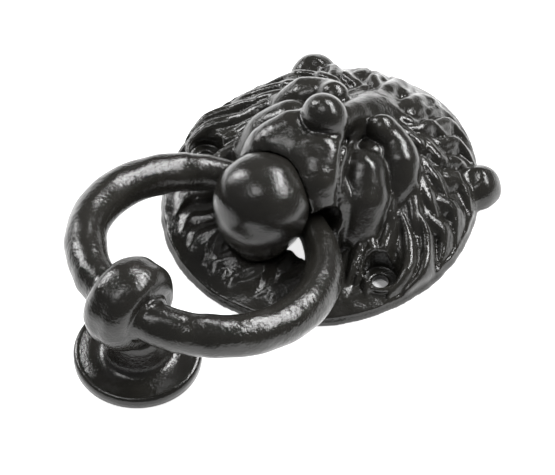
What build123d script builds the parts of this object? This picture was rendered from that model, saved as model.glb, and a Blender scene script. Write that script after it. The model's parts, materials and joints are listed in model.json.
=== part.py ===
"""Lion's-head ring door knocker in painted cast iron, lying on its back.

X runs across the lion's face, +Y points to the top of its head and +Z away from the door. The
origin is on the back plane, z = 0, midway between the two fixing holes. The ring is at rest, its
bead on the strike button.
"""

from build123d import *
import os
from math import cos, radians, sin, sqrt

os.makedirs("parts", exist_ok=True)

# Fixing holes of the head
HOLE_X = 46.5  # from the middle to each fixing hole
HOLE_R = 3.25  # clears a 6 mm screw
RECESS_R = 6.75  # recess for the screw's head
RECESS_FLOOR = 4.0  # web left under the screw's head

# Back plate
PLATE_Y = 18.3  # centre of the oval plate
PLATE_HALF_X = 62.0
PLATE_HALF_Y = 68.0
RIM_T = 4.0
COLLAR_R = 8.3  # collar round each fixing hole
COLLAR_Z = 8.6

# Ring and its swing
PIVOT_Y = PLATE_Y - 23.2  # ring's centreline where it passes through the mouth
PIVOT_Z = 19.4
RING_R = 46.5  # centreline radius
WIRE_R = 8.25
MOUTH_WIRE_R = 5.9  # the wire thins towards the mouth
REST_TILT = 12.0  # the ring's plane above the door at rest
SWING = 65.0  # how far the ring lifts from rest, until it meets the lips
RUNNING_GAP = 0.4  # clearance of the full wire all round
MOUTH_HALF_W = 24.0  # of the space that is kept for the ring in the mouth

# Striking bead
BEAD_R = 18.6
BEAD_HALF_W = 11.0
BEAD_EDGE_R = 9.0
BEAD_IN = 3.0  # the bead sits this far in from the wire's middle, towards the ring's
BEAD_DOWN = 1.0

# Skull, a ball inside the mane that is hollow from the back
SKULL_R = 34.0
SKULL_Y = PLATE_Y + 12
SKULL_Z = 1.0
SKULL_WALL = 7.0

# Lower jaw
JAW_Y = PLATE_Y - 35.3
JAW_Z = 29.7
JAW_R = 19.5
CHIN_Y = PLATE_Y - 38.5
CHIN_Z = 24.0
CHIN_R = 14.8
JAW_GAP = 0.3  # between the jaw and the head
SEAT_Z = 10.0  # face of the head that the jaw's foot stands on
SEAT_Y = PLATE_Y - 43.0
FOOT_L = 20.0
FOOT_W = 15.0
FOOT_SINK = 1.5  # depth of the recess that keeps the jaw from turning

# Jaw screw, M6
SCREW_R = 3.0
SCREW_HEAD_R = 5.0
SCREW_HEAD_H = 4.0
SCREW_L = 16.0
WASHER_R = 5.5
WASHER_T = 1.5
BOSS_FLOOR = 6.0  # back face of the boss that the washer bears on
BOSS_RECESS_R = 7.0
SEAT_R = 13.0  # boss of the head under the jaw
DRIVE_W = 1.2  # slot in the screw's head
DRIVE_DEEP = 1.6
FOOT_GAP = 0.2  # gaps round the jaw's foot and the screw
CLEAR_GAP = 0.3
WASHER_GAP = 0.2
THREAD_GAP = 0.02
JAW_HOLE_Z = 24.0  # top of the tapped hole in the jaw

# Strike button
BUTTON_Y = PLATE_Y - 107.4
BUTTON_R = 25.0
BUTTON_RIM = 5.2
BOSS_BASE_R = 13.0
BOSS_TOP_R = 9.5
BOSS_EDGE = 1.5  # chamfers of the boss and of the button's edge
BUTTON_EDGE = 1.2
LIP_W = 2.6  # raised lip round the dished face
DISH = 0.9
THREAD_R = 2.5  # core of an M6 thread
THREAD_L = 12.0

# Worked out
SIDES = (-1, 1)
UP = (Align.CENTER, Align.CENTER, Align.MIN)  # stands on its place
ABOVE = 30.0  # longer than any cut made upwards has to be
tilt = radians(REST_TILT)
bead_y = PIVOT_Y - (2 * RING_R - BEAD_IN) * cos(tilt)
bead_z = PIVOT_Z + 2 * RING_R * sin(tilt) - BEAD_DOWN
button_top = bead_z - BEAD_R


def ring_plane(lift):
    """Plane of the ring lifted by this many degrees: origin at its centre, y to the mouth."""
    a = radians(REST_TILT + lift)
    centre = (0, PIVOT_Y - RING_R * cos(a), PIVOT_Z + RING_R * sin(a))
    return Plane(origin=centre, x_dir=(1, 0, 0), z_dir=(0, sin(a), cos(a)))


# Ring, cast in one with its bead -------------------------------------------------------------
# Degrees round one half from the mouth to the bead, and the wire's radius there
WIRE = (
    (0, MOUTH_WIRE_R),
    (20, 6.25),
    (40, 6.95),
    (60, 7.8),
    (80, WIRE_R),
    (105, WIRE_R),
    (130, WIRE_R),
    (155, WIRE_R),
    (180, WIRE_R),
)
with BuildPart() as knocker_ring:
    rest = ring_plane(0)
    for turn, wire_r in WIRE:
        a = radians(turn)
        spot = rest.from_local_coords(Vector(RING_R * sin(a), RING_R * cos(a), 0))
        way = rest.from_local_coords(Vector(cos(a), -sin(a), 0)) - rest.origin
        with BuildSketch(Plane(origin=spot, x_dir=rest.z_dir, z_dir=way)):
            Circle(wire_r)
    loft()
    mirror(about=Plane.YZ)
    bead_middle = (0, bead_y, bead_z)
    with BuildSketch(Plane(origin=bead_middle, x_dir=(1, 0, 0), z_dir=rest.z_dir)):
        with BuildLine():
            Polyline(
                (-BEAD_HALF_W, 0),
                (-BEAD_HALF_W, BEAD_R),
                (BEAD_HALF_W, BEAD_R),
                (BEAD_HALF_W, 0),
                close=True,
            )
        make_face()
        fillet(vertices().sort_by_distance(bead_middle)[-2:], BEAD_EDGE_R)
    revolve(axis=Axis(bead_middle, (1, 0, 0)))


# Space that the ring sweeps, with its running gap --------------------------------------------
swept_r = WIRE_R + RUNNING_GAP
pivot = (0, PIVOT_Y, PIVOT_Z)
with BuildPart() as swept_ring:
    for lift in (0, SWING):
        with Locations(ring_plane(lift)):
            Torus(RING_R, swept_r)
    with BuildSketch(ring_plane(0)):
        Circle(RING_R + swept_r)
        Circle(RING_R - swept_r, mode=Mode.SUBTRACT)
        with Locations((0, 2 * RING_R)):  # the part beyond the swing's axis is left out
            Rectangle(4 * RING_R, 2 * RING_R, mode=Mode.SUBTRACT)
    revolve(axis=Axis(pivot, (-1, 0, 0)), revolution_arc=SWING)

# Space that the ring's inner edge turns in close to the mouth, at any angle
with BuildPart() as mouth_space:
    side_y = RING_R - sqrt((RING_R - swept_r) ** 2 - MOUTH_HALF_W**2)
    with BuildSketch(Plane(origin=pivot, x_dir=(1, 0, 0), z_dir=(0, 0, 1))):
        with BuildLine():
            Polyline(
                (-MOUTH_HALF_W, side_y),
                (-MOUTH_HALF_W, 0),
                (MOUTH_HALF_W, 0),
                (MOUTH_HALF_W, side_y),
            )
            ThreePointArc((MOUTH_HALF_W, side_y), (0, swept_r), (-MOUTH_HALF_W, side_y))
        make_face()
    revolve(axis=Axis(pivot, (1, 0, 0)))


# Head ----------------------------------------------------------------------------------------
# Ovals that the outside of the mane and the hollow back are lofted through: height above the
# door, half width, half height, and how far the oval's middle is above the plate's
DOME = ((RIM_T, 60.5, 66.5, 0), (9, 56, 53, 9), (16, 46, 41, 14), (24, 30, 30, 15))
HOLLOW = ((-1, 56.5, 62.5, 0), (1, 54, 58, 1), (4, 49, 50, 6), (10, 39, 34, 13))
LOCKS = 24  # places round the mane for a lock
LOCK_ROOT_R, LOCK_TIP_R, LOCK_L = 5.5, 2.5, 28
LOCK_OUT, LOCK_DROP = 0.87, 0.48  # how far a lock runs outwards and towards the door
FORELOCK_ROOT_R, FORELOCK_TIP_R, FORELOCK_L = 3.0, 4.6, 26
FORELOCK_WAY = (0, 0.82, -0.57)  # also the way that the bridge of the nose runs
WEB_W, WEB_L, WEB_Z = 9.0, 34.0, 11.0  # web of the head behind the ring
WINDOW_W, WINDOW_L, WINDOW_Z = 17.5, 11.5, 14.0  # window on each side of the web
WINDOW_Y = PLATE_Y - 28.25
BRIDGE_LOW_R, BRIDGE_HIGH_R, BRIDGE_L = 5.5, 8.5, 32.0
MUZZLE_HALF_X, MUZZLE_HALF_Y, MUZZLE_BACK_Z, MUZZLE_H = 20.0, 15.0, 10.0, 30.0
EAR_HOLLOW_R = 6.8
# Balls of the face: either side of the middle, above the plate's centre, above the door, radius
FACE = (
    (8, -9, 41, 9.8),  # upper lip, from the nose down beside the jaw
    (11.5, -17, 36, 10.8),
    (16, -19, 24, 9.6),
    (0, -12, 39.5, 9.5),
    (0, 0.6, 49.3, 10),  # nose
    (19.5, 2, 28, 8.6),  # pad of the whiskers, three balls
    (24, -4, 21, 10.4),
    (26, -9, 13, 9.6),
    (31.5, 14.5, 15, 10),  # temple
    (12.6, 20.3, 35, 6),  # brow, three balls
    (19, 20.5, 30.5, 5.8),
    (25, 17.6, 27, 7),
    (14.5, 12.5, 28.5, 5.6),  # eye
    (43.8, 43.3, 2.2, 9.8),  # ear
)


with BuildPart() as hollow:
    for z, half_x, half_y, up in HOLLOW:
        with BuildSketch(Plane.XY.offset(z)):
            with Locations((0, PLATE_Y + up)):
                Ellipse(half_x, half_y)
    loft(ruled=True)
    with Locations((0, SKULL_Y, SKULL_Z)):
        Sphere(SKULL_R - SKULL_WALL)

with BuildPart() as lion_head:
    with BuildSketch():
        with Locations((0, PLATE_Y)):
            Ellipse(PLATE_HALF_X, PLATE_HALF_Y)
    extrude(amount=RIM_T)
    for z, half_x, half_y, up in DOME:
        with BuildSketch(Plane.XY.offset(z)):
            with Locations((0, PLATE_Y + up)):
                Ellipse(half_x, half_y)
    loft(ruled=True)
    # Mane, locks that run outwards over the plate above the jaw, and two over the forehead
    for k in range(LOCKS):
        turn = radians(360 / LOCKS * (k + 0.5))
        if sin(turn) < -0.5:  # no locks below the jaw
            continue
        out = Vector(LOCK_OUT * cos(turn), LOCK_OUT * sin(turn), -LOCK_DROP)
        root = Vector(32 * cos(turn), PLATE_Y + 4 + 35 * sin(turn), 20.5)
        with Locations(Plane(origin=root + out * 12, z_dir=out)):
            Cone(LOCK_ROOT_R, LOCK_TIP_R, LOCK_L)
    for x in (-4, 5):
        with Locations(Plane(origin=(x, PLATE_Y + 44, 20), z_dir=FORELOCK_WAY)):
            Cone(FORELOCK_ROOT_R, FORELOCK_TIP_R, FORELOCK_L)
    # Skull, bridge of the nose and the middle of the muzzle
    with Locations((0, SKULL_Y, SKULL_Z)):
        Sphere(SKULL_R)
    with Locations(Plane(origin=(0, PLATE_Y + 16, 34), z_dir=FORELOCK_WAY)):
        Cone(BRIDGE_LOW_R, BRIDGE_HIGH_R, BRIDGE_L)
    with BuildSketch(Plane.XY.offset(MUZZLE_BACK_Z)):
        with Locations((0, PLATE_Y - 7)):
            Ellipse(MUZZLE_HALF_X, MUZZLE_HALF_Y)
    extrude(amount=MUZZLE_H)
    for x, y, z, r in FACE:
        for side in SIDES if x else (1,):
            with Locations((side * x, PLATE_Y + y, z)):
                Sphere(r)
    # Hollows of the ears
    for side in SIDES:
        with Locations((side * 41, PLATE_Y + 39.5, 11)):
            Sphere(EAR_HOLLOW_R, mode=Mode.SUBTRACT)
    split(bisect_by=Plane.XY, keep=Keep.TOP)
    add(hollow.part, mode=Mode.SUBTRACT)
    # Collars for the fixing holes, boss for the jaw's screw and the web behind the ring
    for side in SIDES:
        with Locations((side * HOLE_X, 0, 0)):
            Cylinder(COLLAR_R, COLLAR_Z, align=UP)
    with Locations((0, SEAT_Y, BOSS_FLOOR)):
        Cylinder(SEAT_R, SEAT_Z - BOSS_FLOOR, align=UP)
    with Locations((0, PIVOT_Y - 4, 1)):
        Box(WEB_W, WEB_L, WEB_Z - 1, align=UP)
    # Windows beside the web
    for side in SIDES:
        with Locations((side * (WEB_W + WINDOW_W) / 2, WINDOW_Y, -1)):
            Box(WINDOW_W, WINDOW_L, WINDOW_Z + 1, align=UP, mode=Mode.SUBTRACT)
    # Room for the jaw and for the ring
    with BuildSketch(Plane.XY.offset(SEAT_Z - FOOT_SINK)):
        with Locations((0, SEAT_Y)):
            SlotOverall(FOOT_L + 2 * FOOT_GAP, FOOT_W + 2 * FOOT_GAP)
    extrude(amount=ABOVE, mode=Mode.SUBTRACT)
    with Locations((0, JAW_Y, JAW_Z)):
        Sphere(JAW_R + JAW_GAP, mode=Mode.SUBTRACT)
    with Locations((0, CHIN_Y, CHIN_Z)):
        Sphere(CHIN_R + JAW_GAP, mode=Mode.SUBTRACT)
    add(mouth_space.part, mode=Mode.SUBTRACT)
    add(swept_ring.part, mode=Mode.SUBTRACT)
    # Fixing holes and the clearance hole for the jaw's screw
    for side in SIDES:
        with Locations((side * HOLE_X, 0, RECESS_FLOOR)):
            Cylinder(RECESS_R, ABOVE, align=UP, mode=Mode.SUBTRACT)
        with Locations((side * HOLE_X, 0, -1)):
            Cylinder(HOLE_R, ABOVE, align=UP, mode=Mode.SUBTRACT)
    with Locations((0, SEAT_Y, -1)):
        Cylinder(SCREW_R + CLEAR_GAP, ABOVE, align=UP, mode=Mode.SUBTRACT)
        Cylinder(BOSS_RECESS_R, BOSS_FLOOR + 1, align=UP, mode=Mode.SUBTRACT)


# Lower jaw -----------------------------------------------------------------------------------
with BuildPart() as lower_jaw:
    with Locations((0, JAW_Y, JAW_Z)):
        Sphere(JAW_R)
    with Locations((0, CHIN_Y, CHIN_Z)):
        Sphere(CHIN_R)
    with BuildSketch(Plane.XY.offset(SEAT_Z - FOOT_SINK)):
        with Locations((0, SEAT_Y)):
            SlotOverall(FOOT_L, FOOT_W)
    extrude(until=Until.NEXT)
    add(swept_ring.part, mode=Mode.SUBTRACT)
    add(mouth_space.part, mode=Mode.SUBTRACT)
    with Locations((0, SEAT_Y, 0)):
        Cylinder(SCREW_R + THREAD_GAP, JAW_HOLE_Z, align=UP, mode=Mode.SUBTRACT)


# Screw and washer that hold the jaw ----------------------------------------------------------
with BuildPart() as jaw_washer:
    with BuildSketch(Plane.XY.offset(BOSS_FLOOR - WASHER_T)):
        with Locations((0, SEAT_Y)):
            Circle(WASHER_R)
            Circle(SCREW_R + WASHER_GAP, mode=Mode.SUBTRACT)
    extrude(amount=WASHER_T)

head_z = BOSS_FLOOR - WASHER_T - SCREW_HEAD_H
with BuildPart() as jaw_screw:
    with Locations((0, SEAT_Y, head_z)):
        Cylinder(SCREW_HEAD_R, SCREW_HEAD_H, align=UP)
        Cylinder(SCREW_R, SCREW_HEAD_H + SCREW_L, align=UP)
        Box(3 * SCREW_HEAD_R, DRIVE_W, DRIVE_DEEP, align=UP, mode=Mode.SUBTRACT)


# Strike button -------------------------------------------------------------------------------
with BuildPart() as strike_button:
    with BuildSketch(Plane.XZ.offset(-BUTTON_Y)):
        with BuildLine():
            edge_low = (BUTTON_R, BUTTON_RIM - BUTTON_EDGE)
            edge_high = (BUTTON_R - BUTTON_EDGE, BUTTON_RIM)
            lip = (BUTTON_R - LIP_W, BUTTON_RIM)
            dip = ((BUTTON_R + BOSS_BASE_R) / 2, BUTTON_RIM - DISH)
            foot = (BOSS_BASE_R, BUTTON_RIM)
            flare = (BOSS_BASE_R - 1.6, BUTTON_RIM + 3.2)
            shoulder = (BOSS_TOP_R, button_top - BOSS_EDGE)
            Polyline((0, 0), (BUTTON_R, 0), edge_low, edge_high, lip)
            Spline(lip, dip, foot)
            Spline(foot, flare, shoulder)
            Polyline(shoulder, (BOSS_TOP_R - BOSS_EDGE, button_top), (0, button_top), (0, 0))
        make_face()
    revolve(axis=Axis((0, BUTTON_Y, 0), (0, 0, 1)))
    with Locations((0, BUTTON_Y, 0)):
        Cylinder(THREAD_R, THREAD_L, align=UP, mode=Mode.SUBTRACT)


pieces = {
    "lion_head": lion_head,
    "lower_jaw": lower_jaw,
    "jaw_screw": jaw_screw,
    "jaw_washer": jaw_washer,
    "knocker_ring": knocker_ring,
    "strike_button": strike_button,
}
for label, piece in pieces.items():
    piece.part.label = label
    export_step(piece.part, f"parts/{label}.step")
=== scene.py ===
"""Lion's-head ring door knocker, cast iron under gloss black paint, lying on its back on a white table.

The head, the lower jaw and the ring are sculpted as signed distances in millimetres on a grid, added
together and carved like clay, and turned into meshes. Sculpting is done in coordinates that start at
the middle of the oval back plate, with +Y towards the top of the head and +Z off the table.
"""

import json
import math

import bpy
import numpy as np
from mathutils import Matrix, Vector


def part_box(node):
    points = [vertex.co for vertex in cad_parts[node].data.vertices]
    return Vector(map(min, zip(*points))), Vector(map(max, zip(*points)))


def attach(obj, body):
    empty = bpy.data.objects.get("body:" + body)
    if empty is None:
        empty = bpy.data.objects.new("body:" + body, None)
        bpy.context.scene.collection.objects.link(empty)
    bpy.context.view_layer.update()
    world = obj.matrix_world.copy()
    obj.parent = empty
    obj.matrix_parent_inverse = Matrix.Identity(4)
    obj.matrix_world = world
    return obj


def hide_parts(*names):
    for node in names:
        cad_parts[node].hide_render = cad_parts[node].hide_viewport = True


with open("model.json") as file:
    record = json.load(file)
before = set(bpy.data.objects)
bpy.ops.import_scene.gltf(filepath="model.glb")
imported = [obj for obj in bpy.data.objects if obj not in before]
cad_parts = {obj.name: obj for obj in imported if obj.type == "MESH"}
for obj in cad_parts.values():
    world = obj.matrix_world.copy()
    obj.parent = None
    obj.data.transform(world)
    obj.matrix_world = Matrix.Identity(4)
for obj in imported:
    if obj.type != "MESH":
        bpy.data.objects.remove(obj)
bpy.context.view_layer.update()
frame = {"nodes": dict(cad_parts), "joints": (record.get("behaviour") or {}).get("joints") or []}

import openvdb
from mathutils import Vector

MM = 0.001
HEAD, RING = "head", "ring"  # the two bodies
head_low, head_high = (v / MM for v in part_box("lion_head"))
button_low, button_high = (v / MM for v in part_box("strike_button"))
pivot = Vector(frame["joints"][0]["pos_m"]) / MM
PLATE = (0.0, (head_low.y + head_high.y) / 2, 0.0)  # middle of the oval plate on the back plane

# Plate
HALF_X, HALF_Y = 61.7, 67.8
TOP_SQUEEZE = 1.86  # power of the oval's top half; 2 would be an ellipse
RIM_T = 4.0
HOLE = (46.5, -PLATE[1])  # fixing hole, from the plate's middle
HOLE_R, RECESS_R, RECESS_FLOOR = 3.25, 6.75, 4.0
COLLAR_R, COLLAR_Z = 8.3, 8.6
EAR = (43.8, 43.3, 9.4)  # middle of an ear's ball, and its radius
WALL, RIM_W = 5.0, 5.5  # casting over the hollow back, and solid rim round it
WEB_HALF_X = 4.5  # web behind the ring, between the windows

# Ring
RING_R, WIRE_R, REST_TILT, SWING = 46.5, 8.3, 12.0, 65.0
MOUTH_THIN, THIN_TO = 2.5, 80.0  # the wire is thinner in the mouth; degrees round at which that ends
PIVOT_Y, PIVOT_Z = pivot.y - PLATE[1], pivot.z
BEAD_R, BEAD_HALF_W = 18.6, 11.0
BEAD_IN, BEAD_DOWN = 3.0, 1.0  # from the wire's middle: in towards the ring's, and down to the button
BEAD_EDGE = 8.5  # rounding of the bead's rims

# Lower jaw and the boss that it is screwed to
JAW = (0.0, -35.3, 29.7)
JAW_R = 19.5
CHIN, CHIN_R = (0.0, -38.5, 24.0), 14.8
CHIN_BASE_Y, CHIN_BASE_R = -36.5, 11.0  # neck of the jaw, down to its seat
SEAT_Y, SEAT_Z = -43.0, 10.0
FOOT_HALF_X, FOOT_R, FOOT_SINK = 8.5, 5.5, 1.5
NECK_TOP = 26.0  # where the neck and the foot end, inside the egg
BOSS_R, SCREW_R, TAPPED_R = 13.0, 3.3, 3.0  # boss in the back, screw's hole in it and in the jaw
SCREW_RECESS_R, SCREW_RECESS_TOP = 7.0, 6.0

STEP = 0.6  # grid of the ring
HEAD_STEP, JAW_STEP = 1.28 * STEP, 0.8 * STEP  # with these the head has under 200,000 faces
BELOW = -9.0  # under the plate's back, where cuts from there begin
ALL_LOW, ALL_HIGH = (-999.0,) * 3, (999.0,) * 3  # corners past every grid


# --------------------------------------------------------------------------------------------------
# Distances of plain shapes; x, y and z broadcast
# --------------------------------------------------------------------------------------------------
def join(a, b, blend):
    """Smooth union."""
    if blend <= 0:
        return np.minimum(a, b)
    h = np.clip(0.5 + 0.5 * (b - a) / blend, 0, 1)
    return b + (a - b) * h - blend * h * (1 - h)


def ball(centre, radii):
    def shape(x, y, z):
        px, py, pz = (x - centre[0]) / radii[0], (y - centre[1]) / radii[1], (z - centre[2]) / radii[2]
        near = np.sqrt(px**2 + py**2 + pz**2)
        steep = np.sqrt((px / radii[0]) ** 2 + (py / radii[1]) ** 2 + (pz / radii[2]) ** 2)
        return near * (near - 1) / np.maximum(steep, 1e-4)

    return shape


def box(low, high, rounding=0.0):
    low, high = np.array(low) + rounding, np.array(high) - rounding
    centre, half = (low + high) / 2, (high - low) / 2

    def shape(x, y, z):
        q = [np.abs(p - centre[k]) - half[k] for k, p in enumerate((x, y, z))]
        outside = np.sqrt(sum(np.maximum(p, 0) ** 2 for p in q))
        return outside + np.minimum(np.maximum(np.maximum(q[0], q[1]), q[2]), 0) - rounding

    return shape


def nearest_on_run(x, y, z, p, q):
    """How far along the run from p to q the nearest point is, from 0 to 1, and its distance squared."""
    run = q - p
    t = np.clip(((x - p[0]) * run[0] + (y - p[1]) * run[1] + (z - p[2]) * run[2]) / (run @ run), 0, 1)
    gap = (x - p[0] - t * run[0]) ** 2 + (y - p[1] - t * run[1]) ** 2 + (z - p[2] - t * run[2]) ** 2
    return t, gap


def tube(points, radii):
    """Round tube along straight runs between the points, its radius changing along each."""

    def shape(x, y, z):
        best = np.inf
        for p, q, r, s in zip(points, points[1:], radii, radii[1:]):
            t, gap = nearest_on_run(x, y, z, p, q)
            best = np.minimum(best, np.sqrt(gap) - (r + (s - r) * t))
        return best

    return shape


def upright(centre, radius, low, high, rounding=0.0):
    """Cylinder along Z."""

    def shape(x, y, z):
        side = np.hypot(x - centre[0], y - centre[1]) - radius + rounding
        end = np.abs(z - (low + high) / 2) - (high - low) / 2 + rounding
        outside = np.hypot(np.maximum(side, 0), np.maximum(end, 0))
        return outside + np.minimum(np.maximum(side, end), 0) - rounding

    return shape


def share_of(x, y, half_x=HALF_X, half_y=HALF_Y):
    """Share of the way out to the edge of the plate's oval, an ellipse below and squeezed above."""
    power = np.where(y > 0, TOP_SQUEEZE, 2.0)
    return ((np.abs(x) / half_x) ** power + (np.abs(y) / half_y) ** power) ** (1 / power)


def oval(x, y, half_x, half_y):
    """Distance from the oval, near enough close to its edge."""
    near = share_of(x, y, half_x, half_y)
    steep = np.hypot(x / half_x**2, y / half_y**2)
    return near * (near - 1) / np.maximum(steep, 1e-4)


def oval_plate(half_x, half_y, low, high, rounding):
    def shape(x, y, z):
        side = oval(x, y, half_x, half_y) + rounding
        end = np.abs(z - (low + high) / 2) - (high - low) / 2 + rounding
        outside = np.hypot(np.maximum(side, 0), np.maximum(end, 0))
        return outside + np.minimum(np.maximum(side, end), 0) - rounding

    return shape


def wire_radius(x, back):
    """The wire's radius in a direction from the ring's middle, where +back points at the mouth."""
    turn = np.degrees(np.arctan2(np.abs(x), back))
    fade = np.clip(1 - turn / THIN_TO, 0, 1)
    return WIRE_R - MOUTH_THIN * fade * fade * (3 - 2 * fade)


SWEEP_SEAM = math.radians(SWING / 2 - 180)  # opposite the middle of the swing, where angles wrap round


def swept_ring(gap):
    """Everything that the ring passes through as it lifts, with a gap round it."""
    rest, lifted = math.radians(REST_TILT), math.radians(REST_TILT + SWING)

    def shape(x, y, z):
        out, up = PIVOT_Y - y, z - PIVOT_Z
        reach = np.hypot(out, up)
        angle = np.mod(np.arctan2(up, out) - rest - SWEEP_SEAM, 2 * math.pi) + rest + SWEEP_SEAM
        off = angle - np.clip(angle, rest, lifted)
        along, across = reach * np.cos(off), reach * np.sin(off)
        swept = np.hypot(np.hypot(x, along - RING_R) - RING_R, across) - wire_radius(x, RING_R - along)
        return swept - gap

    return shape


# --------------------------------------------------------------------------------------------------
# Clay: a grid of distances that shapes are added to and cut from
# --------------------------------------------------------------------------------------------------
class Clay:
    FAR = 6.0  # distance everywhere before the first shape is added

    def __init__(self, low, high, step):
        self.low, self.step = np.array(low, float), step
        size = np.ceil((np.array(high) - self.low) / step).astype(int) + 1
        self.field = np.full(size, self.FAR, np.float32)

    def block(self, low, high):
        """Slices of the grid between two corners, and the coordinates there."""
        size = np.array(self.field.shape)
        first = np.clip(np.floor((np.array(low) - self.low) / self.step), 0, size).astype(int)
        last = np.clip(np.ceil((np.array(high) - self.low) / self.step) + 1, 0, size).astype(int)
        axes = [self.low[k] + self.step * np.arange(first[k], last[k]) for k in range(3)]
        x, y, z = np.meshgrid(*(a.astype(np.float32) for a in axes), indexing="ij", sparse=True)
        return tuple(slice(a, b) for a, b in zip(first, last)), x, y, z

    def region(self, low, high, margin, both):
        """A block with a margin; both makes it as wide on each side of x = 0, with x folded over."""
        low, high = np.array(low, float) - margin, np.array(high, float) + margin
        if both:
            low[0] = -high[0]
        where, x, y, z = self.block(low, high)
        return where, np.abs(x) if both else x, y, z

    def add(self, shape, blend=0.0, low=ALL_LOW, high=ALL_HIGH, both=False):
        """Joins a shape on; both puts its mirror image on the other side of x = 0 too."""
        if isinstance(shape, np.ndarray):
            self.field = join(self.field, shape, blend).astype(np.float32)
            return
        where, x, y, z = self.region(low, high, blend + 2 * self.step, both)
        self.field[where] = join(self.field[where], shape(x, y, z), blend)

    def cut(self, shape, blend=0.0, low=ALL_LOW, high=ALL_HIGH, both=False):
        where, x, y, z = self.region(low, high, blend + 2 * self.step, both)
        self.field[where] = -join(-self.field[where], shape(x, y, z), blend)

    def add_ball(self, centre, radii, blend=2.0, both=True):
        centre, radii = np.array(centre, float), np.array(radii, float)
        self.add(ball(centre, radii), blend, centre - radii, centre + radii, both)

    def cut_ball(self, centre, radii, blend=2.0, both=True):
        centre, radii = np.array(centre, float), np.array(radii, float)
        self.cut(ball(centre, radii), blend, centre - radii, centre + radii, both)

    def add_tube(self, points, radii, blend=1.5, both=True, finer=4):
        points, radii = smooth_path(points, radii, finer)
        reach = radii.max()
        self.add(tube(points, radii), blend, points.min(0) - reach, points.max(0) + reach, both)

    def groove(self, points, normal, width, depth, both=True):
        """Presses a line into the surface, seen along normal, and fading at other heights."""
        points, _ = smooth_path(points, np.ones(len(points)), 6)
        normal = np.array(normal, float) / np.linalg.norm(normal)
        where, x, y, z = self.region(points.min(0), points.max(0), 3 * width + 8, both)
        nearest = np.inf
        flat = points - np.outer(points @ normal, normal)
        lift = x * normal[0] + y * normal[1] + z * normal[2]
        fx, fy, fz = x - lift * normal[0], y - lift * normal[1], z - lift * normal[2]
        for p, q in zip(flat, flat[1:]):
            nearest = np.minimum(nearest, nearest_on_run(fx, fy, fz, p, q)[1])
        ends = np.maximum(0, np.abs(lift - np.mean(points @ normal)) - 12)
        self.field[where] += depth * np.exp(-nearest / width**2) * np.exp(-(ends**2) / 8)

    def lumps(self, amount, pitch, seed):
        """Gently uneven surface, as sand casting leaves."""
        _, x, y, z = self.block(ALL_LOW, ALL_HIGH)
        draw = np.random.RandomState(seed)
        for _ in range(6):
            way = draw.normal(size=3)
            way *= 2 * math.pi / pitch / np.linalg.norm(way) * draw.uniform(0.7, 1.4)
            phase = draw.uniform(0, 2 * math.pi)
            wave = np.sin(way[0] * x + way[1] * y + way[2] * z + phase)
            self.field += (amount * wave).astype(np.float32)

    def mesh(self, name, place):
        """The surface where the distance is zero, moved by place and in metres."""
        grid = openvdb.FloatGrid(self.FAR)
        grid.copyFromArray(self.field)
        points, quads = grid.convertToQuads(isovalue=0.0)
        points = (points * self.step + self.low + np.array(place)) * MM
        return new_mesh(name, points, quads[:, ::-1])


def smooth_path(points, radii, finer):
    """More points along a curve through the given ones, and radii to go with them."""
    points, radii = np.array(points, float), np.array(radii, float)
    known = np.arange(len(points))
    wanted = np.linspace(0, len(points) - 1, finer * (len(points) - 1) + 1)
    slopes = np.gradient(points, axis=0) if len(points) > 2 else np.diff(points, axis=0)[[0, 0]]
    i = np.minimum(wanted.astype(int), len(points) - 2)
    t = (wanted - i)[:, None]
    a, b, da, db = points[i], points[i + 1], slopes[i], slopes[i + 1]
    curve = (a * (2 * t**3 - 3 * t**2 + 1) + b * (3 * t**2 - 2 * t**3)
             + da * (t**3 - 2 * t**2 + t) + db * (t**3 - t**2))
    return curve, np.interp(wanted, known, radii)


def new_mesh(name, points, faces):
    mesh = bpy.data.meshes.new(name)
    mesh.vertices.add(len(points))
    mesh.vertices.foreach_set("co", np.asarray(points, np.float32).ravel())
    corners = faces.shape[1]
    mesh.loops.add(faces.size)
    mesh.loops.foreach_set("vertex_index", np.asarray(faces, np.int32).ravel())
    mesh.polygons.add(len(faces))
    mesh.polygons.foreach_set("loop_start", np.arange(0, faces.size, corners, dtype=np.int32))
    mesh.polygons.foreach_set("use_smooth", np.ones(len(faces), bool))
    mesh.update(calc_edges=True)
    mesh.validate()
    piece = bpy.data.objects.new(name, mesh)
    bpy.context.scene.collection.objects.link(piece)
    return piece


# --------------------------------------------------------------------------------------------------
# Materials
# --------------------------------------------------------------------------------------------------
def node(tree, kind, **inputs):
    made = tree.nodes.new(kind)
    for key, value in inputs.items():
        made.inputs[key.replace("_", " ")].default_value = value
    return made


def noise(tree, source, scale, detail=3.0, roughness=0.5):
    made = node(tree, "ShaderNodeTexNoise", Scale=scale, Detail=detail, Roughness=roughness)
    tree.links.new(source, made.inputs["Vector"])
    return made.outputs["Fac"]


def ramp(tree, source, low, high, start=0.3, end=0.7):
    """Maps start..end, which by itself is the middle of a noise, on to low..high."""
    made = node(tree, "ShaderNodeMapRange", From_Min=start, From_Max=end, To_Min=low, To_Max=high)
    tree.links.new(source, made.inputs["Value"])
    return made.outputs["Result"]


def bump(tree, height, strength, distance, below=None):
    made = node(tree, "ShaderNodeBump", Strength=strength, Distance=distance)
    tree.links.new(height, made.inputs["Height"])
    if below is not None:
        tree.links.new(below, made.inputs["Normal"])
    return made.outputs["Normal"]


def vector_math(tree, operation, source):
    made = tree.nodes.new("ShaderNodeVectorMath")
    made.operation = operation
    tree.links.new(source, made.inputs[0])
    return made


def mix_colour(tree, factor, a, b):
    made = tree.nodes.new("ShaderNodeMix")
    made.data_type = "RGBA"
    made.inputs["A"].default_value = (*a, 1)
    made.inputs["B"].default_value = (*b, 1)
    tree.links.new(factor, made.inputs["Factor"])
    return made.outputs["Result"]


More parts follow.
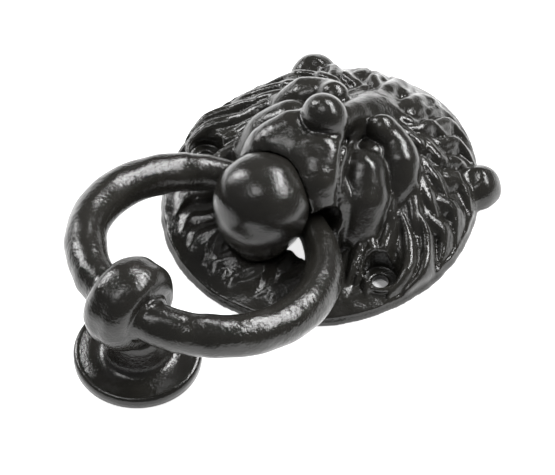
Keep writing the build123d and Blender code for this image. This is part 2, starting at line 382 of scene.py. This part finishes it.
def new_material(name):
    material = bpy.data.materials.new(name)
    material.use_nodes = True
    tree = material.node_tree
    shader = tree.nodes["Principled BSDF"]
    place = tree.nodes.new("ShaderNodeTexCoord").outputs["Object"]
    return material, tree, shader, place


def black_paint(name, peel, grain, rough):
    """Gloss black paint: its orange peel, and over that the finer grain of the sand casting."""
    material, tree, shader, place = new_material(name)
    tint = ramp(tree, noise(tree, place, 60), 0, 1)
    shade = mix_colour(tree, tint, (0.0115, 0.0110, 0.0095), (0.0175, 0.0165, 0.0140))
    tree.links.new(shade, shader.inputs["Base Color"])
    low, high = rough
    tree.links.new(ramp(tree, noise(tree, place, 180, 4), low, high), shader.inputs["Roughness"])
    coarse = bump(tree, noise(tree, place, 420, 2), peel, 0.00035)
    fine = bump(tree, noise(tree, place, 1100, 3, 0.6), grain, 0.0002, coarse)
    tree.links.new(fine, shader.inputs["Normal"])
    return material


def zinc(name):
    material, tree, shader, place = new_material(name)
    shade = mix_colour(tree, noise(tree, place, 500), (0.42, 0.43, 0.44), (0.62, 0.62, 0.60))
    tree.links.new(shade, shader.inputs["Base Color"])
    shader.inputs["Metallic"].default_value = 1.0
    tree.links.new(ramp(tree, noise(tree, place, 900), 0.25, 0.45), shader.inputs["Roughness"])
    tree.links.new(bump(tree, noise(tree, place, 2500), 0.2, 0.0001), shader.inputs["Normal"])
    return material


head_paint = black_paint("gloss_paint_on_casting", peel=0.28, grain=0.70, rough=(0.09, 0.20))
ring_paint = black_paint("gloss_paint_on_ring", peel=0.70, grain=0.70, rough=(0.11, 0.22))
screw_zinc = zinc("zinc_plate")


def finish_piece(piece, body, material, cad_node):
    piece.data.materials.append(material)
    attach(piece, body)
    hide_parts(cad_node)


# --------------------------------------------------------------------------------------------------
# Head
# --------------------------------------------------------------------------------------------------
# Ball that the mane lies on: its middle, its radii, and its radius towards the chin
DOME_Y, DOME_Z = 16.0, -14.0
DOME_R, DOME_LOW_R = (65.0, 59.0, 36.5), 46.0
BEVEL = 7.5  # rise of the plate from its edge to under the jaw
CHIN_FLAT = 0.3  # how much of their height the locks beside the chin keep
HOLE_LOCK_LIFT, HOLE_LOCK_GROOVE = 4.4, 0.6


def on_plate(turn, share):
    """Point at an angle in degrees round the plate and a share of the way out to its edge."""
    x, y = HALF_X * math.cos(math.radians(turn)), HALF_Y * math.sin(math.radians(turn))
    grow = share / share_of(x, y)
    return x * grow, y * grow


def dome_height(x, y, inset=0.0):
    """Height of the ball that the mane lies on, or of one a little inside it."""
    half_y = np.where(y > DOME_Y, DOME_R[1], DOME_LOW_R) - inset
    inside = 1 - (x / (DOME_R[0] - inset)) ** 2 - ((y - DOME_Y) / half_y) ** 2
    return DOME_Z + (DOME_R[2] - inset) * np.sqrt(np.maximum(inside, 0))


def bevel_height(x, y):
    """Rise of the plate's face from its edge inwards."""
    return BEVEL * (1 - np.minimum(share_of(x, y), 1) ** 2.2)


class Mane:
    """Heights of the hair over the plate, painted on lock by lock; the highest wins."""

    def __init__(self, clay):
        self.clay = clay
        _, self.x, self.y, self.z = clay.block(ALL_LOW, ALL_HIGH)
        dome = dome_height(self.x, self.y)[:, :, 0]
        self.base = -join(-RIM_T - bevel_height(self.x, self.y)[:, :, 0], -dome, 3.0)
        self.height = self.base.copy()

    def lock(self, path, width, lift, strands, groove):
        """Paints a lock along a path of (x, y, rise) points: narrow root, round back, pointed end."""
        spots, _ = smooth_path(path, np.ones(len(path)), 4)
        step, low = self.clay.step, self.clay.low
        first = np.maximum(np.floor((spots[:, :2].min(0) - width - low[:2]) / step), 0).astype(int)
        last = np.ceil((spots[:, :2].max(0) + width - low[:2]) / step).astype(int)
        where = (slice(first[0], last[0]), slice(first[1], last[1]))
        x, y = self.x[where[0], :, 0], self.y[:, where[1], 0]
        nearest, along, side = np.inf, 0.0, 0.0
        for k, (p, q) in enumerate(zip(spots, spots[1:])):
            run = (q - p)[:2]
            length = np.linalg.norm(run)
            t = np.clip(((x - p[0]) * run[0] + (y - p[1]) * run[1]) / length**2, 0, 1)
            off = np.hypot(x - p[0] - t * run[0], y - p[1] - t * run[1])
            across = ((y - p[1]) * run[0] - (x - p[0]) * run[1]) / length
            closer = off < nearest
            nearest = np.where(closer, off, nearest)
            along = np.where(closer, (k + t) / (len(spots) - 1), along)
            side = np.where(closer, np.where(across < 0, -off, off), side)
        girth = width * np.clip(0.45 + 1.6 * along, 0, 1) * np.clip(2.6 * (1 - along), 0.05, 1) ** 0.8
        u = side / girth
        rise = np.interp(along, np.linspace(0, 1, len(spots)), spots[:, 2])
        body = np.clip(1 - np.abs(u) ** 1.7, 0, 1) * np.clip(3.0 * (1 - along), 0, 1) ** 0.6
        ridge = np.abs(np.sin(math.pi * strands * (u + 1) / 2)) ** 0.6 - 1
        top = self.base[where] + rise + lift * body + groove * ridge * np.clip(4 * (1 - along), 0.2, 1)
        top = np.where(np.abs(u) < 1, top, -np.inf)
        self.height[where] = np.maximum(self.height[where], top)

    def shape(self):
        """Distance above the hair, kept inside the plate's outline."""
        rows, columns = np.gradient(self.height, self.clay.step)
        steep = np.sqrt(1 + np.minimum(rows**2 + columns**2, 6.0))
        over = (self.z - self.height[:, :, None]) / steep[:, :, None]
        return np.maximum(over, oval(self.x, self.y, HALF_X - 1.0, HALF_Y - 1.0))


def mane(clay):
    hair = Mane(clay)
    draw = np.random.RandomState(11)

    def flowing(turn, shares, rises, width, lift, wave, groove):
        """A lock outwards from the face that falls towards the chin on its way."""
        drop = 20 * math.cos(math.radians(turn))
        swings = np.array((0.5, 0.22, -0.16, -0.6)) * drop + np.array((0.3, -0.7, 0.7, -0.2)) * wave
        spots = zip(shares, swings, rises)
        path = [(*on_plate(turn + swing, share), rise) for share, swing, rise in spots]
        hair.lock(path, width, lift, 4, groove)

    # Three layers, each over the roots of the one outside it
    for count, start, shares, rises, width, lift in (
        (34, 0.25, (0.60, 0.74, 0.87, 0.975), (-0.6, 0.2, 0.2, -1.2), (4.4, 5.4), (4.4, 5.6)),
        (26, 0.60, (0.50, 0.62, 0.74, 0.86), (0.0, 1.4, 1.8, -0.4), (4.8, 6.0), (5.0, 6.4)),
        (20, 0.10, (0.42, 0.52, 0.61, 0.71), (1.0, 2.8, 3.4, 1.0), (4.8, 6.0), (4.4, 5.8)),
    ):
        for k in range(count):
            turn = 360 * (k + start) / count + draw.uniform(-2, 2)
            height = math.sin(math.radians(turn))
            low, upper = height < -0.45, height > 0.05  # beside the chin, and in the top half
            if low and shares[0] < 0.55:
                continue
            ends = np.array(shares) * (1 if upper else 0.945) * draw.uniform(0.985, 1.015)
            flat = CHIN_FLAT if low else 1
            flowing(turn, ends, np.array(rises) * flat, draw.uniform(*width), draw.uniform(*lift) * flat,
                    draw.choice((-1, 1)) * draw.uniform(2, 6), 0.35 if low else 0.55)
    # Locks round the fixing holes
    for side in (-1, 1):
        for path, width, strands in (
            (((34, 2, 0.5), (33, -10, 2.0), (37, -22, 1.5), (41, -33, 0.5)), 4.0, 4),
            (((36, 2, 1.0), (36, -8, 2.5), (39, -19, 2.0), (43, -30, 0.5)), 3.4, 3),
            (((37, 2, 2.0), (40, -4, 3.0), (43, -9, 2.5), (45.5, -13, 1.0)), 3.2, 3),
            (((38, 3, 2.5), (47, -2, 3.4), (54, -11, 2.4), (55, -25, 0.5)), 4.2, 2),
            (((40, 9, 2.5), (50, 5, 3.0), (58, -6, 1.5), (58, -19, 0)), 3.6, 2),
        ):
            path = [(side * x, y, rise) for x, y, rise in path]
            hair.lock(path, width, HOLE_LOCK_LIFT, strands, HOLE_LOCK_GROOVE)
    clay.add(hair.shape(), 0.5)


def forelocks(clay):
    """Two fat fingers of hair over the top of the head."""
    for path, radii in (
        (((-1, 31, 29), (-4, 42, 24), (-6, 51, 17), (-6, 56, 11)), (3.0, 4.2, 5.0, 4.6)),
        (((6, 33, 27), (5, 44, 22), (5, 53, 15), (4, 59, 8)), (2.6, 3.8, 4.6, 4.2)),
    ):
        clay.add_tube(path, radii, 0.8, both=False)


def face(clay):
    """Shapes on the lion's left, and by default their mirror images."""
    # Skull and bridge of the nose
    clay.add_ball((0, 12, 4), (35, 35, 31), 2.5, both=False)
    clay.add_tube(((0, 4, 43), (0, 12, 38.5), (0, 21, 32), (0, 30, 25)),
                  (5.5, 6.2, 7.6, 9.0), 5.0, both=False, finer=8)
    # Temples, then sockets, brows, eyes and lids
    clay.add_ball((32.5, 15, 14), (9.0, 11, 9.5), 2.0)
    clay.cut_ball((16, 11.5, 33), (7.5, 6, 7), 2.0)
    clay.add_ball((12.6, 20.3, 35), (6.0, 5.8, 6.0), 1.2)
    clay.add_tube(((13, 21, 34), (19, 21, 30.5), (25, 17.6, 27.0), (29, 11.5, 21.5), (29, 4, 16)),
                  (6.0, 6.2, 8.0, 7.4, 5.6), 1.0)
    clay.add_ball((14.5, 12.5, 28.5), (6.3, 5.2, 5.5), 0.8)
    clay.add_tube(((9.5, 9.5, 31), (12, 14.4, 32.5), (17, 15.4, 31), (21.5, 11.5, 28.5), (24.5, 5, 25.5)),
                  (0.8, 1.3, 1.3, 1.1, 0.7), 0.5)
    clay.add_tube(((9.5, 9, 31), (13, 6.6, 31.5), (17.5, 6.6, 30.5), (21.5, 10.5, 28.5)),
                  (0.8, 1.1, 1.1, 0.8), 0.5)
    # Muzzle: its core, the two upper lips that hang down beside the jaw, and the pads outside them
    clay.add_ball((0, -6, 28), (18, 14, 18), 3.0, both=False)
    clay.add_tube(((8, -9, 41), (11.5, -17, 36), (15.5, -20, 25), (18.5, -21, 13)),
                  (9.8, 10.8, 9.8, 8.4), 1.6)
    clay.add_ball((0, -13, 39.5), (11, 10, 9), 5.0, both=False)
    clay.add_ball((14, -8, 14), (11, 9, 13), 3.0)
    clay.add_ball((15.5, -19.0, 18), (10, 9, 12), 2.0)
    clay.add_tube(((17, -1, 28), (19.5, -7, 21), (21, -13, 12)), (8.0, 9.0, 8.0), 1.5)
    clay.add_tube(((18, -12, 26), (20, -13.5, 18), (22, -15.5, 7)), (8.0, 8.0, 7.5), 2.5)
    clay.add_tube(((19, 2.5, 29), (24, -3.5, 22), (27.5, -9, 12)), (9.4, 11.0, 10.0), 0.8, finer=16)
    clay.groove(((10, 2, 44), (13, -5, 38), (17.5, -11, 29), (21.5, -16, 16), (22.5, -18, 8)),
                (0.35, -0.45, 0.8), 0.8, 1.2)
    # Nose
    clay.add_ball((0, 0.6, 49.3), (9.8, 8.6, 10.2), 0.8, both=False)
    clay.add_ball((6.0, -2.2, 46.0), (5.4, 5.0, 4.6), 1.6)
    clay.cut_ball((4.8, -7.0, 44.2), (2.6, 2.2, 1.8), 0.8)


def ears(clay):
    clay.add_ball((EAR[0], EAR[1], 2.2), (EAR[2], EAR[2] + 0.8, EAR[2] + 0.4), 1.2)
    clay.cut_ball((EAR[0] - 1.6, EAR[1] - 3.0, 13.4), (4.4, 4.8, 3.4), 2.0)


def plate(clay):
    clay.add(oval_plate(HALF_X, HALF_Y, -RIM_T, RIM_T, 3.2), 0.0, (-63, -69, 0), (63, 69, RIM_T))
    clay.add(upright(HOLE, COLLAR_R, 0, COLLAR_Z, 1.2), 0.6, both=True)


def openings(clay):
    """Hollow back, windows, holes and the room for the ring and the jaw."""
    edge = oval_plate(HALF_X - RIM_W, HALF_Y - RIM_W, BELOW, 20, 0.5)
    keep = [upright((s * HOLE[0], HOLE[1]), RECESS_R + 2.5, BELOW, 30) for s in (-1, 1)]
    keep += [upright((s * EAR[0], EAR[1]), EAR[2] + 1.5, BELOW, 30) for s in (-1, 1)]
    keep += [upright((0, SEAT_Y), BOSS_R, SCREW_RECESS_TOP, 30)]
    keep += [box((-WEB_HALF_X, -45, BELOW), (WEB_HALF_X, -10, 30))]

    def hollow(x, y, z):
        under = z - np.maximum(dome_height(x, y, WALL), bevel_height(x, y))
        inside = join(np.maximum(under, edge(x, y, z)), ball((0, 12, 4), (28, 26, 26))(x, y, z), 2)
        solid = keep[0](x, y, z)
        for shape in keep[1:]:
            solid = np.minimum(solid, shape(x, y, z))
        return np.maximum(inside, -solid)

    clay.cut(hollow, 0.8, (-60, -66, -5), (60, 66, 32))
    window = (WEB_HALF_X, -34, BELOW), (22, -22.5, 14)
    clay.cut(box(*window, 1.0), 0.6, *window, both=True)
    clay.cut(swept_ring(gap=0.5), 1.6, (-56, -125, -5), (56, 40, 115))
    clay.cut(jaw_shape(gap=0.3), 0.0, (-21, -58, 8), (21, -14, 51))
    for side in (-1, 1):
        x, y = side * HOLE[0], HOLE[1]
        clay.cut(upright((x, y), RECESS_R, RECESS_FLOOR, 40), 0.6, (x - 7, y - 7, 4), (x + 7, y + 7, 30))
        clay.cut(upright((x, y), HOLE_R, -5, 40), 0.4, (x - 4, y - 4, -2), (x + 4, y + 4, 10))
    clay.cut(upright((0, SEAT_Y), SCREW_RECESS_R, BELOW, SCREW_RECESS_TOP), 0.3,
             (-8, SEAT_Y - 8, -2), (8, SEAT_Y + 8, 6))
    clay.cut(upright((0, SEAT_Y), SCREW_R, BELOW, 12), 0.0, (-4, SEAT_Y - 4, -2), (4, SEAT_Y + 4, 12))
    clay.cut(lambda x, y, z: z, 0.4)  # flat back


def jaw_shape(gap):
    """Egg-shaped lower jaw with a neck under it, on its foot."""
    egg = ball(JAW, (JAW_R,) * 3)
    chin = ball(CHIN, (CHIN_R,) * 3)
    foot = upright((0, SEAT_Y), FOOT_R, SEAT_Z - FOOT_SINK, NECK_TOP)
    neck = upright((0, CHIN_BASE_Y), CHIN_BASE_R, SEAT_Z, NECK_TOP)

    def shape(x, y, z):
        side = np.maximum(np.abs(x) - (FOOT_HALF_X - FOOT_R), 0)
        ball_and_chin = join(egg(x, y, z), chin(x, y, z), 3.0)
        return join(join(ball_and_chin, neck(x, y, z), 9.0), foot(side, y, z), 2.0) - gap

    return shape


def make_head():
    clay = Clay((-66, -71, -2), (66, 71, 64), HEAD_STEP)
    plate(clay)
    mane(clay)
    face(clay)
    forelocks(clay)
    ears(clay)
    clay.lumps(0.05, 9.0, 1)
    openings(clay)
    head = clay.mesh("lion_head_cast", PLATE)
    finish_piece(head, HEAD, head_paint, "lion_head")


def make_jaw():
    clay = Clay((-22, -58, 6), (22, -12, 52), JAW_STEP)
    clay.add(jaw_shape(gap=0.0))
    clay.lumps(0.06, 11.0, 2)
    clay.cut(swept_ring(gap=0.45), 1.0)
    clay.cut(upright((0, SEAT_Y), TAPPED_R, 0, 24))
    jaw = clay.mesh("lower_jaw_cast", PLATE)
    finish_piece(jaw, HEAD, head_paint, "lower_jaw")


# --------------------------------------------------------------------------------------------------
# Ring and its bead
# --------------------------------------------------------------------------------------------------
def make_ring():
    tilt = math.radians(REST_TILT)
    middle = (0, PIVOT_Y - RING_R * math.cos(tilt), PIVOT_Z + RING_R * math.sin(tilt))
    low_end = (0, PIVOT_Y - 2 * RING_R * math.cos(tilt), PIVOT_Z + 2 * RING_R * math.sin(tilt))
    clay = Clay((-57, -142, 8), (57, -12, 62), STEP)

    def hoop(x, y, z):
        along = (y - middle[1]) * math.cos(tilt) - (z - middle[2]) * math.sin(tilt)
        across = (y - middle[1]) * math.sin(tilt) + (z - middle[2]) * math.cos(tilt)
        return np.hypot(np.hypot(x, along) - RING_R, across) - wire_radius(x, along)

    hub_y, hub_z = low_end[1] + BEAD_IN * math.cos(tilt), low_end[2] - BEAD_DOWN

    def bead(x, y, z):
        """Wheel with dished sides and a narrow collar where the wire goes in."""
        out = np.hypot(y - hub_y, z - hub_z)
        dished = BEAD_HALF_W - 1.6 * np.clip(1 - (out - 6) / 9, 0, 1)
        side, end = np.abs(x) - dished + BEAD_EDGE, out - BEAD_R + BEAD_EDGE
        outside = np.hypot(np.maximum(side, 0), np.maximum(end, 0))
        crown = outside + np.minimum(np.maximum(side, end), 0) - BEAD_EDGE
        collar = np.maximum(out - WIRE_R - 1.6, np.abs(x) - BEAD_HALF_W - 0.5)
        return join(crown, collar, 1.0)

    clay.add(hoop)
    clay.add(bead, 1.6, (-16, low_end[1] - 22, low_end[2] - 22), (16, low_end[1] + 22, low_end[2] + 22))
    clay.lumps(0.07, 10.0, 3)
    ring = clay.mesh("knocker_ring_cast", PLATE)
    finish_piece(ring, RING, ring_paint, "knocker_ring")


# --------------------------------------------------------------------------------------------------
# Strike button, turned about its own axis
# --------------------------------------------------------------------------------------------------
def make_button():
    """A profile of (radius, height) points, turned round, with closed ends on the axis."""
    centre = (button_low + button_high) / 2
    radius, top, rim = (button_high.x - button_low.x) / 2, button_high.z, 5.2
    bore_r, bore_top = 2.5, 12.0
    bore = [(0.0, bore_top), (bore_r, bore_top), (bore_r, 0)]
    edge = [(radius - 0.6, 0), (radius, 0.6), (radius, rim - 1.5), (radius - 0.4, rim - 0.5)]
    dish = [(radius - 1.4, rim), (radius - 2.6, rim - 0.1), (radius - 4.5, rim - 0.6), (18.0, rim - 0.9),
            (15.0, rim - 0.7), (13.4, rim - 0.1), (12.3, rim + 1.2)]
    boss = [(11.6, 8.4), (11.0, 11.2), (10.5, 14.2), (10.1, top - 1.6), (9.4, top - 0.6),
            (8.0, top - 0.05), (0.0, top)]
    outline = bore + edge + dish + boss
    around = 160
    r, z = np.array(outline, float).T
    turn = np.linspace(0, 2 * math.pi, around, endpoint=False)
    circles = r[:, None] * np.cos(turn), r[:, None] * np.sin(turn)
    points = np.stack(np.broadcast_arrays(*circles, z[:, None]), -1)
    points[..., :2] += (centre.x, centre.y)
    points[0, :, :2] = points[-1, :, :2] = (centre.x, centre.y)
    i, j = np.meshgrid(np.arange(len(outline) - 1), np.arange(around), indexing="ij")
    k = (j + 1) % around
    faces = np.stack((i * around + j, i * around + k, (i + 1) * around + k, (i + 1) * around + j), -1)
    button = new_mesh("strike_button_cast", points.reshape(-1, 3) * MM, faces.reshape(-1, 4))
    finish_piece(button, HEAD, head_paint, "strike_button")


# --------------------------------------------------------------------------------------------------
# Table, light and camera
# --------------------------------------------------------------------------------------------------
TABLE_GLOW = 0.8  # the table gives off light, so that hardly any shadow shows on it
GLOW_NEAR, GLOW_FAR = 0.2, 0.5  # distances in metres between which the glow fades away


def make_table():
    half = 3.0
    corners = np.array([(-half, -half, 0), (half, -half, 0), (half, half, 0), (-half, half, 0)])
    table = new_mesh("white_table", corners, np.array([[0, 1, 2, 3]]))
    material, tree, shader, place = new_material("white_laminate")
    shade = mix_colour(tree, noise(tree, place, 3), (0.86, 0.86, 0.86), (0.9, 0.9, 0.9))
    tree.links.new(shade, shader.inputs["Base Color"])
    tree.links.new(ramp(tree, noise(tree, place, 40), 0.55, 0.65), shader.inputs["Roughness"])
    tree.links.new(bump(tree, noise(tree, place, 400), 0.05, 0.0001), shader.inputs["Normal"])
    shader.inputs["Emission Color"].default_value = (1, 1, 1, 1)
    away = vector_math(tree, "LENGTH", place)
    fall = ramp(tree, away.outputs["Value"], TABLE_GLOW, 0.0, GLOW_NEAR, GLOW_FAR)
    # Painted shade under the fixing holes: the glow is taken away there, so the table seen through them
    # is dark, as it would be without the glow
    mirrored = vector_math(tree, "ABSOLUTE", place)
    from_hole = vector_math(tree, "DISTANCE", mirrored.outputs["Vector"])
    from_hole.inputs[1].default_value = (HOLE[0] * MM, 0, 0)
    glow_and_hole_shade = tree.nodes.new("ShaderNodeMath")
    glow_and_hole_shade.operation = "MULTIPLY"
    tree.links.new(fall, glow_and_hole_shade.inputs[0])
    # glow times a mask that is zero right under each fixing hole: painted shade
    tree.links.new(ramp(tree, from_hole.outputs["Value"], 0.0, 1.0, 0.006, 0.009), glow_and_hole_shade.inputs[1])
    tree.links.new(glow_and_hole_shade.outputs["Value"], shader.inputs["Emission Strength"])
    table.data.materials.append(material)


def soft_box(name, place, aim, size, power):
    light = bpy.data.lights.new(name, "AREA")
    light.shape, light.size, light.size_y, light.energy = "RECTANGLE", size[0], size[1], power
    lamp = bpy.data.objects.new(name, light)
    lamp.location = place
    lamp.rotation_euler = (Vector(aim) - Vector(place)).to_track_quat("-Z", "Y").to_euler()
    bpy.context.scene.collection.objects.link(lamp)


def make_light():
    middle = (0, -0.02, 0.02)
    soft_box("overhead_strip", (0.30, 0.95, 1.25), middle, (1.6, 0.22), 42)
    for side in (-1, 1):
        soft_box("front_panel", (-0.30 + 0.17 * side, -0.70 + 0.15 * side, 1.7), middle, (0.38, 0.5), 4.5)
    soft_box("left_box", (-1.6, -0.1, 0.9), middle, (0.4, 0.9), 20)
    world = bpy.data.worlds.new("room")
    world.use_nodes = True
    world.node_tree.nodes["Background"].inputs["Color"].default_value = (1, 1, 1, 1)
    world.node_tree.nodes["Background"].inputs["Strength"].default_value = 0.18
    bpy.context.scene.world = world
    bpy.context.scene.view_settings.view_transform = "Standard"


def make_camera():
    """Where the photograph was taken from, fitted to the outlines of ring, plate and button."""
    azimuth, elevation, distance = math.radians(42.18), math.radians(51.44), 1.7603
    target = Vector((0.00017, PLATE[1] * MM - 0.02711, 0))
    level = math.cos(elevation)
    back = Vector((math.sin(azimuth) * level, -math.cos(azimuth) * level, math.sin(elevation)))
    camera = bpy.data.objects.new("camera", bpy.data.cameras.new("camera"))
    camera.data.sensor_width = 36.0
    camera.data.lens = 288.3
    camera.location = target + back * distance
    camera.rotation_euler = (-back).to_track_quat("-Z", "Y").to_euler()
    bpy.context.scene.collection.objects.link(camera)
    bpy.context.scene.camera = camera


make_head()
make_jaw()
make_ring()
make_button()
for cad_node in ("jaw_screw", "jaw_washer"):
    frame["nodes"][cad_node].data.materials.clear()
    frame["nodes"][cad_node].data.materials.append(screw_zinc)
make_table()
make_light()
make_camera()
